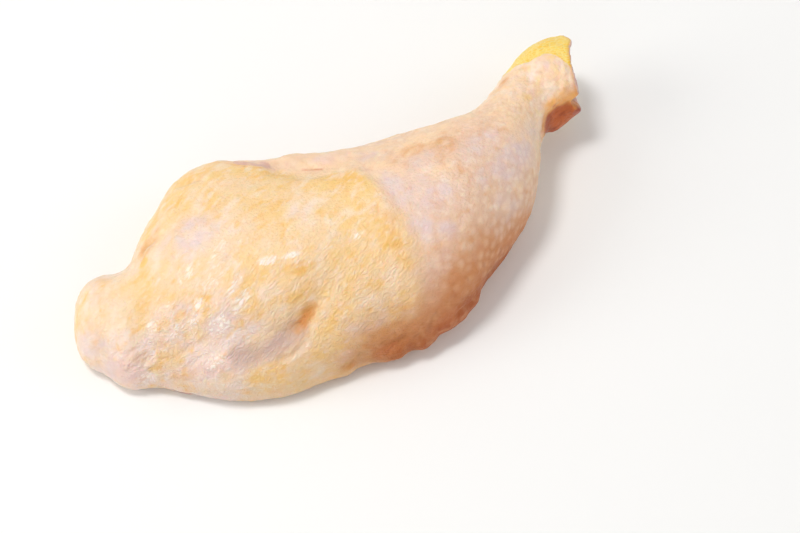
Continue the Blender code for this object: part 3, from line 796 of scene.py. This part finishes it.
def scale_colour(tree, colours, place, scales):
    """Horny scales: yellow plates with pale grooves."""
    patch = add(tree, "TexNoise", {"Vector": place, "Scale": 1 / 5.0, "Detail": 2.0})
    horn = painted(tree, colours.horn, colours.scale, patch, 0.4, 0.65)
    return add(tree, "Mix", {0: scales, 6: colours.groove, 7: horn}, data_type="RGBA")


def meat_colour(tree, colours, fibres, film):
    """Bare meat: dark mauve fibres under a bluish membrane."""
    meat = add(tree, "Mix", {0: fibres, 6: colours.dark_meat, 7: colours.meat}, data_type="RGBA")
    cover = add(tree, "MapRange", {"Value": film, "From Min": 0.45, "From Max": 0.7,
                                   "To Max": 0.6})
    return add(tree, "Mix", {0: cover, 6: meat, 7: colours.membrane}, data_type="RGBA")


def cut_colour(tree, colours, place, share):
    """The cut face: greyish-lilac flesh, and pale tendons in dark sheaths."""
    sinew = add(tree, "TexNoise", {"Vector": place, "Scale": 0.3, "Detail": 3.0})
    flesh = painted(tree, colours.meat, colours.cartilage, sinew, 0.25, 0.75)
    for over, colour, most in (("sheath", colours.dark_meat, 0.7),
                               ("tendon", colours.tendon, 0.85)):
        varied = add(tree, "Math MULTIPLY", {0: sinew, 1: share[over]})
        flesh = painted(tree, flesh, colour, varied, 0.1, 0.45, most)
    return flesh


def skin_material(colours, sizes):
    """Raw chicken skin, wet, over yellow fat; its other finishes are layers on the same skin.

    Translucent creamy skin, mottled yellow and lilac by what lies under it, with a thin film
    of water that glints on its wrinkles; bare meat, horny scales and the cut face lie over it.
    """
    # Painted light in this skin: highlights on the wettest wrinkles; painted shade on the
    # drumstick's low side, in the folds, along the floor and in the hollow under the heel.
    material, tree, place = start_material("raw chicken skin")
    share = shares_in(tree, (
        "drum", "fat", "lilac", "vein", "sheen", "trough", "pink", "orange", "brown", "stub",
        "stub_top", "hollow", "deepest", "amber", "dry", "tan", "deep_tan", "ankle", "scaly",
        "meat", "film", "cut", "rim", "tendon", "sheath", "bumpy", "wrinkled", "puckered",
        "pallor", "peach"))
    lattice = add(tree, "Attribute", out="Vector", attribute_name="lattice")
    bumps = bump_domes(tree, lattice, 3 * (sizes.bump_spacing / MM,))
    scales = scale_tops(tree, place, 3 * (sizes.scale_size / MM,))
    wrinkles = diagonal_folds(tree, place, 3 * (WRINKLE_SPACING,), WRINKLE_TURN)
    puckers = diagonal_folds(tree, place, 3 * (PUCKER_SPACING,), PUCKER_TURN)
    stretched = add(tree, "VectorMath MULTIPLY", {0: place, 1: (0.12, 1.1, 1.1)})
    fibres = add(tree, "TexNoise", {"Vector": stretched, "Scale": 1.0, "Detail": 3.0})

    # Painted highlight: the wettest skin is painted whitest on its wrinkles' tops.
    painted_glint = add(tree, "Math MULTIPLY_ADD", {0: wrinkles, 1: 0.6, 2: 0.4})
    share["painted_glint"] = add(tree, "Math MULTIPLY", {0: painted_glint, 1: share["sheen"]})
    share["all"] = 1.0
    shown = skin_colour(tree, colours, place, share)

    # Goose bumps are pale; painted shade darkens the skin between them, and a little of it
    # deepens the valleys of fine wrinkles.
    between = add(tree, "MapRange", {"Value": bumps, "From Min": 0.25, "From Max": 0.0,
                                     "To Max": 0.15})
    valleys = add(tree, "Math SUBTRACT", {0: 1.0, 1: wrinkles})
    for colour, pattern, over, strength in ((colours.tan, between, "bumpy", 1.0),
                                            (colours.bump, bumps, "bumpy", 0.44),
                                            (colours.orange, valleys, "wrinkled", 0.12)):
        shown = tinted(tree, shown, colour, pattern, share[over], strength)

    # Scales, bare meat, the orange-brown rim of skin round the cut, and the cut face.
    plates = scale_colour(tree, colours, place, scales)
    shown = painted(tree, shown, plates, share["scaly"], 0.35, 0.65)
    film = add(tree, "TexNoise", {"Vector": place, "Scale": 0.14, "Detail": 3.0})
    torn = add(tree, "Math MULTIPLY_ADD", {0: film, 1: 0.6, 2: share["meat"]})
    shown = painted(tree, shown, meat_colour(tree, colours, fibres, film), torn, 0.55, 1.05)
    shown = tinted(tree, shown, colours.orange, 1.0, share["rim"], 0.7)
    flesh = cut_colour(tree, colours, place, share)
    shown = add(tree, "Mix", {0: share["cut"], 6: shown, 7: flesh}, data_type="RGBA")

    # Relief too fine for the mesh, in mm. Real pores are about 0.3 mm and meat fibres 0.1 mm
    # across, too fine to show, so both are drawn about 1 mm wide.
    pores = add(tree, "TexNoise", {"Vector": place, "Scale": 1 / 1.1, "Detail": 2.5})
    height = 0.0
    for pattern, over, depth in ((pores, "all", 0.50), (wrinkles, "wrinkled", 0.19),
                                 (puckers, "puckered", 0.20), (bumps, "bumpy", 0.09),
                                 (scales, "scaly", 0.06), (fibres, "meat", 0.25)):
        part = add(tree, "Math MULTIPLY", {0: pattern, 1: share[over]})
        height = add(tree, "Math MULTIPLY_ADD", {0: part, 1: depth, 2: height})
    bump = add(tree, "Bump", {"Height": height, "Distance": MM, "Strength": 1.0})

    # Wet in patches: the film of water is thick enough to glint only there, and the driest
    # skin hardly glints at all.
    wet = add(tree, "TexNoise", {"Vector": place, "Scale": 1 / 5.0, "Detail": 3.0})
    gloss = add(tree, "MapRange", {"Value": wet, "From Min": 0.35, "From Max": 0.65,
                                   "To Min": 0.50, "To Max": 0.36})
    rough = add(tree, "Math MULTIPLY_ADD", {0: share["dry"], 1: 0.15, 2: gloss})
    water = add(tree, "MapRange", {"Value": wet, "From Min": 0.45, "From Max": 0.65,
                                   "To Min": 0.08, "To Max": 0.34}, **SMOOTH)
    water = add(tree, "Math MULTIPLY_ADD", {0: share["sheen"], 1: 0.45, 2: water})
    moist = add(tree, "Math MULTIPLY_ADD", {0: share["dry"], 1: -0.85, 2: 1.0})
    water = add(tree, "Math MULTIPLY", {0: water, 1: moist})
    shader = add(tree, "BsdfPrincipled", {
        "Base Color": shown, "Roughness": rough, "Normal": bump, "IOR": 1.38,
        "Subsurface Weight": 0.35, "Subsurface Scale": 0.003,
        "Subsurface Radius": (1.0, 0.35, 0.15), "Coat Weight": water, "Coat Roughness": 0.08,
        "Coat IOR": 1.33, "Coat Normal": bump})
    add(tree, "OutputMaterial", {"Surface": shader})
    return material


def bone_material(colours):
    """Fresh bone end: glossy, stained cartilage on the knuckles, and pinkish bone behind."""
    material, tree, place = start_material("fresh cut bone and cartilage")
    share = shares_in(tree, ("knuckle", "upper", "groove", "edge"))
    noise = add(tree, "TexNoise", {"Vector": place, "Scale": 0.45, "Detail": 4.0})
    centred = add(tree, "Math SUBTRACT", {0: noise, 1: 0.5})
    shown = colours.bone
    for over, colour in (("knuckle", colours.red_knuckle), ("upper", colours.dark_knuckle),
                         ("groove", colours.cartilage), ("edge", colours.bone)):
        varied = add(tree, "Math MULTIPLY_ADD", {0: centred, 1: 1.8, 2: share[over]})
        shown = painted(tree, shown, colour, varied, 0.10, 1.0, 0.9)
    bump = add(tree, "Bump", {"Height": noise, "Distance": 0.3 * MM})
    shader = add(tree, "BsdfPrincipled", {
        "Base Color": shown, "Roughness": 0.22, "Normal": bump, "IOR": 1.4, "Coat Weight": 0.4,
        "Coat Roughness": 0.08, "Coat IOR": 1.33})
    add(tree, "OutputMaterial", {"Surface": shader})
    return material


def plain_material(name, colour, roughness):
    """One even finish, such as the floor's matt board, which shows soft shadows and no shine."""
    material = bpy.data.materials.new(name)
    material.use_nodes = True
    shader = material.node_tree.nodes["Principled BSDF"]
    shader.inputs["Base Color"].default_value = to_linear(colour)
    shader.inputs["Roughness"].default_value = roughness
    return material


# ---------------------------------------------------------------- settings
def tint(name, description, code):
    """A colour that a user can change, kept as an sRGB hex code."""
    return bpy.props.StringProperty(name=name, description=description, default=code, maxlen=7)


def length(name, description, default):
    return bpy.props.FloatProperty(name=name, description=description, default=default,
                                   min=0.0, unit="LENGTH", precision=5)


def power(name, description, default):
    return bpy.props.FloatProperty(name=name, description=description, default=default,
                                   min=0.0, unit="POWER")


class LegColours(bpy.types.PropertyGroup):
    """The colours of the leg, as sRGB hex codes."""
    cream: tint("Cream", "Plain skin", "#f2d3ac")
    pale: tint("Pale", "Flecks in the skin", "#f8e3d2")
    fat: tint("Fat", "Yellow fat under the skin", "#f5ce8f")
    deep_fat: tint("Deep fat", "Thickest fat", "#f0bf6c")
    pale_lilac: tint("Pale lilac", "Wet skin over thin fat", "#efdcd9")
    lilac: tint("Lilac", "Thin skin over muscle", "#e4cdc9")
    shade: tint("Shade", "Skin in the trough of the thigh", "#c8a9a0")
    vein: tint("Vein", "Bluish skin over a vein", "#dac8cf")
    # painted highlight: the white laid on the wettest skin
    sheen: tint("Sheen", "Wettest skin", "#fff1e6")
    pink: tint("Pink", "Pink skin", "#edccc2")
    drumstick: tint("Drumstick", "Skin of the drumstick", "#e9c6ab")
    ruddy: tint("Ruddy", "Small mottles of the drumstick and ankle", "#e0a878")
    peach: tint("Peach", "Skin of the ankle and the far side", "#fbd9b2")
    # painted warm shade: the colours of the shade on the drumstick's low side, darkest at its edge
    tan: tint("Tan", "Skin low on the drumstick's side", "#cd8652")
    deep_tan: tint("Deep tan", "Skin at the drumstick's low edge", "#a65224")
    bump: tint("Goose bump", "Tops of the goose bumps", "#f5d8bd")
    orange: tint("Orange", "Thin skin at folds and edges", "#dc9448")
    amber: tint("Amber", "Dried skin round the heel", "#ffb660")
    # painted shade, in the deepest folds and the hollow under the heel
    brown: tint("Brown", "Deepest folds", "#c6602b")
    # painted dark shade in the hollow under the heel, and the stub's own dark top
    raw_brown: tint("Raw brown", "Streaks in the hollow under the heel", "#983e1a")
    gristle: tint("Gristle", "Stub of gristle at the heel", "#b96c56")
    horn: tint("Horn", "Horny scales at the hock", "#fbd467")
    scale: tint("Deep horn", "Deepest yellow of the scales", "#f9c93a")
    groove: tint("Groove", "Lines between the scales", "#fbdd88")
    film: tint("Film", "Flesh under a thin film", "#dcae9f")
    meat: tint("Meat", "Bare meat", "#c99a92")
    dark_meat: tint("Dark meat", "Deep colour of bare meat", "#93584f")
    membrane: tint("Membrane", "Film over the meat", "#e0c6c2")
    tendon: tint("Tendon", "Cut ends of tendons", "#e2d0ca")
    bone: tint("Bone", "Bone, and the rim of its cartilage", "#e5cdc1")
    red_knuckle: tint("Red knuckle", "Lower knuckle of the bone", "#b9574a")
    dark_knuckle: tint("Dark knuckle", "Upper knuckle of the bone", "#8b4540")
    cartilage: tint("Cartilage", "Cartilage between the knuckles", "#dab8b0")


class LegSizes(bpy.types.PropertyGroup):
    """The sizes of the skin's relief, which are also the inputs of its node tree."""
    bump_spacing: length("Goose bump spacing", "From one goose bump to the next", 0.0042)
    bump_height: length("Goose bump height", "How far a goose bump stands up", 0.00015)
    scale_size: length("Scale size", "Width of a scale at the hock", 0.0012)
    scale_height: length("Scale height", "How far a scale stands up", 0.00008)
    fold_spacing: length("Fold spacing", "From one skin fold to the next", 0.0034)
    fold_depth: length("Fold depth", "Depth of the skin folds", 0.00025)
    lump_size: length("Lump size", "Width of the skin's low lumps", 0.009)
    lump_height: length("Lump height", "From a lump's top to the hollow beside it", 0.0005)
    pucker_size: length("Pucker size", "Width of a pucker or knob", 0.0026)
    pucker_depth: length("Pucker depth", "Depth of the puckers", 0.00045)
    knob_depth: length("Knob depth", "Depth of the knobs at the ankle", 0.00045)
    dimple_size: length("Dimple size", "Width of a small dimple", 0.0032)
    dimple_depth: length("Dimple depth", "Depth of the small dimples", 0.0007)


class StudioSettings(bpy.types.PropertyGroup):
    """The floor, the lights and the camera."""
    floor: tint("Floor", "Colour of the floor", "#f5f4f2")
    key: power("Key light", "Power of the main light", 9.9)
    side: power("Side light", "Power of the light from the left", 8.3)
    fill: power("Fill light", "Power of the weak light from the right", 3.9)
    front: power("Front light", "Power of the light from the near side", 2.0)
    sky: bpy.props.FloatProperty(name="Sky", description="Strength of the light from all round",
                                 default=0.5, min=0.0)
    elevation: bpy.props.FloatProperty(name="Elevation", description="Camera's angle from level",
                                       default=math.radians(60), subtype="ANGLE")
    distance: length("Distance", "From the camera to what it looks at", 0.8333)


# ---------------------------------------------------------------- operators
class LEG_OT_flesh(bpy.types.Operator):
    """Replaces the leg's solid with a finely shaped skin"""
    bl_idname = "chicken_leg.flesh"
    bl_label = "Skin and flesh"

    def execute(self, context):
        piece = copy_of("leg", "leg_skin")
        piece.modifiers.new("Even mesh", "REMESH").voxel_size = VOXEL * MM
        piece.modifiers.new("Smooth", "SMOOTH").iterations = SMOOTH_STEPS
        make_plain(piece)
        points, normals = places_of(piece.data)
        faces = [tuple(f.vertices) for f in piece.data.polygons]
        edges = np.array([e.vertices[:] for e in piece.data.edges])
        tree = skin_tree(points, faces)
        points = relaxed(points, edges, spots_share(points, tree, SOFT_SPOTS), EVEN_STEPS)
        past_cut = (points - CUT_MIDDLE) @ np.array(CUT_DIRECTION)
        set_places(piece.data, nudged(folded(points, normals, tree)))
        points, normals = places_of(piece.data)
        shares, lattice = skin_shares(points, normals, tree, past_cut)
        for name, values in shares.items():
            store(piece.data, name, values)
        store(piece.data, "lattice", lattice, "FLOAT_VECTOR")
        material = skin_material(context.scene.leg_colours, context.scene.leg_sizes)
        raise_relief(piece, context.scene.leg_sizes, material)
        set_places(piece.data, places_of(piece.data)[0])
        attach(piece, "root")
        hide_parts("leg")
        return {"FINISHED"}


class LEG_OT_bone(bpy.types.Operator):
    """Replaces the shin bone's solid with a smooth one that shows knuckles and cartilage"""
    bl_idname = "chicken_leg.bone"
    bl_label = "Shin bone"

    def execute(self, context):
        piece = copy_of("shin_bone", "shin_bone_end")
        finer = piece.modifiers.new("Finer", "SUBSURF")
        finer.levels = 2
        finer.render_levels = 2
        make_plain(piece)
        points, _ = places_of(piece.data)
        end = ramp(points[:, 0], 174, 178)
        across = (points - CUT_MIDDLE)[:, 1:]
        store(piece.data, "knuckle", end)
        store(piece.data, "upper", end * ramp(across[:, 1], -3.0, 4.5))
        store(piece.data, "groove", end * fall(np.abs(across[:, 1]), 0.0, 4.2))
        store(piece.data, "edge", end * ramp(from_oval(across, (0, 0), BONE_HALF), 0.60, 1.0))
        piece.data.materials.append(bone_material(context.scene.leg_colours))
        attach(piece, "root")
        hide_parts("shin_bone")
        return {"FINISHED"}


class LEG_OT_stage(bpy.types.Operator):
    """Adds the floor, the lights and the camera"""
    bl_idname = "chicken_leg.stage"
    bl_label = "Studio"

    def execute(self, context):
        studio = context.scene.leg_studio
        mesh = bpy.data.meshes.new("floor")
        reach = 6.0
        mesh.from_pydata([(-reach, -reach, 0), (reach, -reach, 0), (reach, reach, 0),
                          (-reach, reach, 0)], [], [(0, 1, 2, 3)])
        mesh.materials.append(plain_material("matt white board", studio.floor, 0.8))
        object_of("floor", mesh)

        world = bpy.data.worlds.new("studio")
        world.use_nodes = True
        sky = world.node_tree.nodes["Background"]
        sky.inputs["Color"].default_value = (1.0, 1.0, 1.0, 1.0)
        sky.inputs["Strength"].default_value = studio.sky
        context.scene.world = world
        for name, place, size in (("key", (-0.45, 0.1, 1.5), 0.36),
                                  ("side", (-1.45, -0.25, 0.85), 0.9),
                                  ("fill", (1.5, 0.1, 0.9), 1.0),
                                  ("front", (-0.3, -1.5, 0.7), 1.0)):
            lamp = bpy.data.lights.new(name, "AREA")
            lamp.energy = getattr(studio, name)
            lamp.size = size
            light = object_of(name, lamp)
            light.location = place
            light.rotation_euler = Vector(place).to_track_quat("Z", "Y").to_euler()

        camera = bpy.data.cameras.new("camera")
        camera.lens = 100
        camera.sensor_width = 36
        eye = object_of("camera", camera)
        aim = CORNER + Vector(AIM) * MM
        eye.location = aim + studio.distance * Vector((0, -math.cos(studio.elevation),
                                                       math.sin(studio.elevation)))
        eye.rotation_euler = (math.pi / 2 - studio.elevation, 0, 0)
        context.scene.camera = eye
        context.scene.view_settings.view_transform = "Standard"
        return {"FINISHED"}


class LEG_PT_panel(bpy.types.Panel):
    """Lists the steps and the settings"""
    bl_label = "Chicken Leg"
    bl_idname = "LEG_PT_panel"
    bl_space_type = "VIEW_3D"
    bl_region_type = "UI"
    bl_category = "Chicken Leg"

    def draw(self, context):
        for step in STEPS:
            self.layout.operator(step.bl_idname)
        for name, group in GROUPS.items():
            box = self.layout.box()
            for setting in group.__annotations__:
                box.prop(getattr(context.scene, name), setting)


STEPS = (LEG_OT_flesh, LEG_OT_bone, LEG_OT_stage)
GROUPS = {"leg_colours": LegColours, "leg_sizes": LegSizes, "leg_studio": StudioSettings}


def register():
    for kind in (*GROUPS.values(), *STEPS, LEG_PT_panel):
        bpy.utils.register_class(kind)
    for name, group in GROUPS.items():
        setattr(bpy.types.Scene, name, bpy.props.PointerProperty(type=group))


def unregister():
    for name in GROUPS:
        delattr(bpy.types.Scene, name)
    for kind in (LEG_PT_panel, *reversed(STEPS), *reversed(GROUPS.values())):
        bpy.utils.unregister_class(kind)


def main():
    register()
    bpy.ops.chicken_leg.flesh()
    bpy.ops.chicken_leg.bone()
    bpy.ops.chicken_leg.stage()


if __name__ == "__main__":
    main()
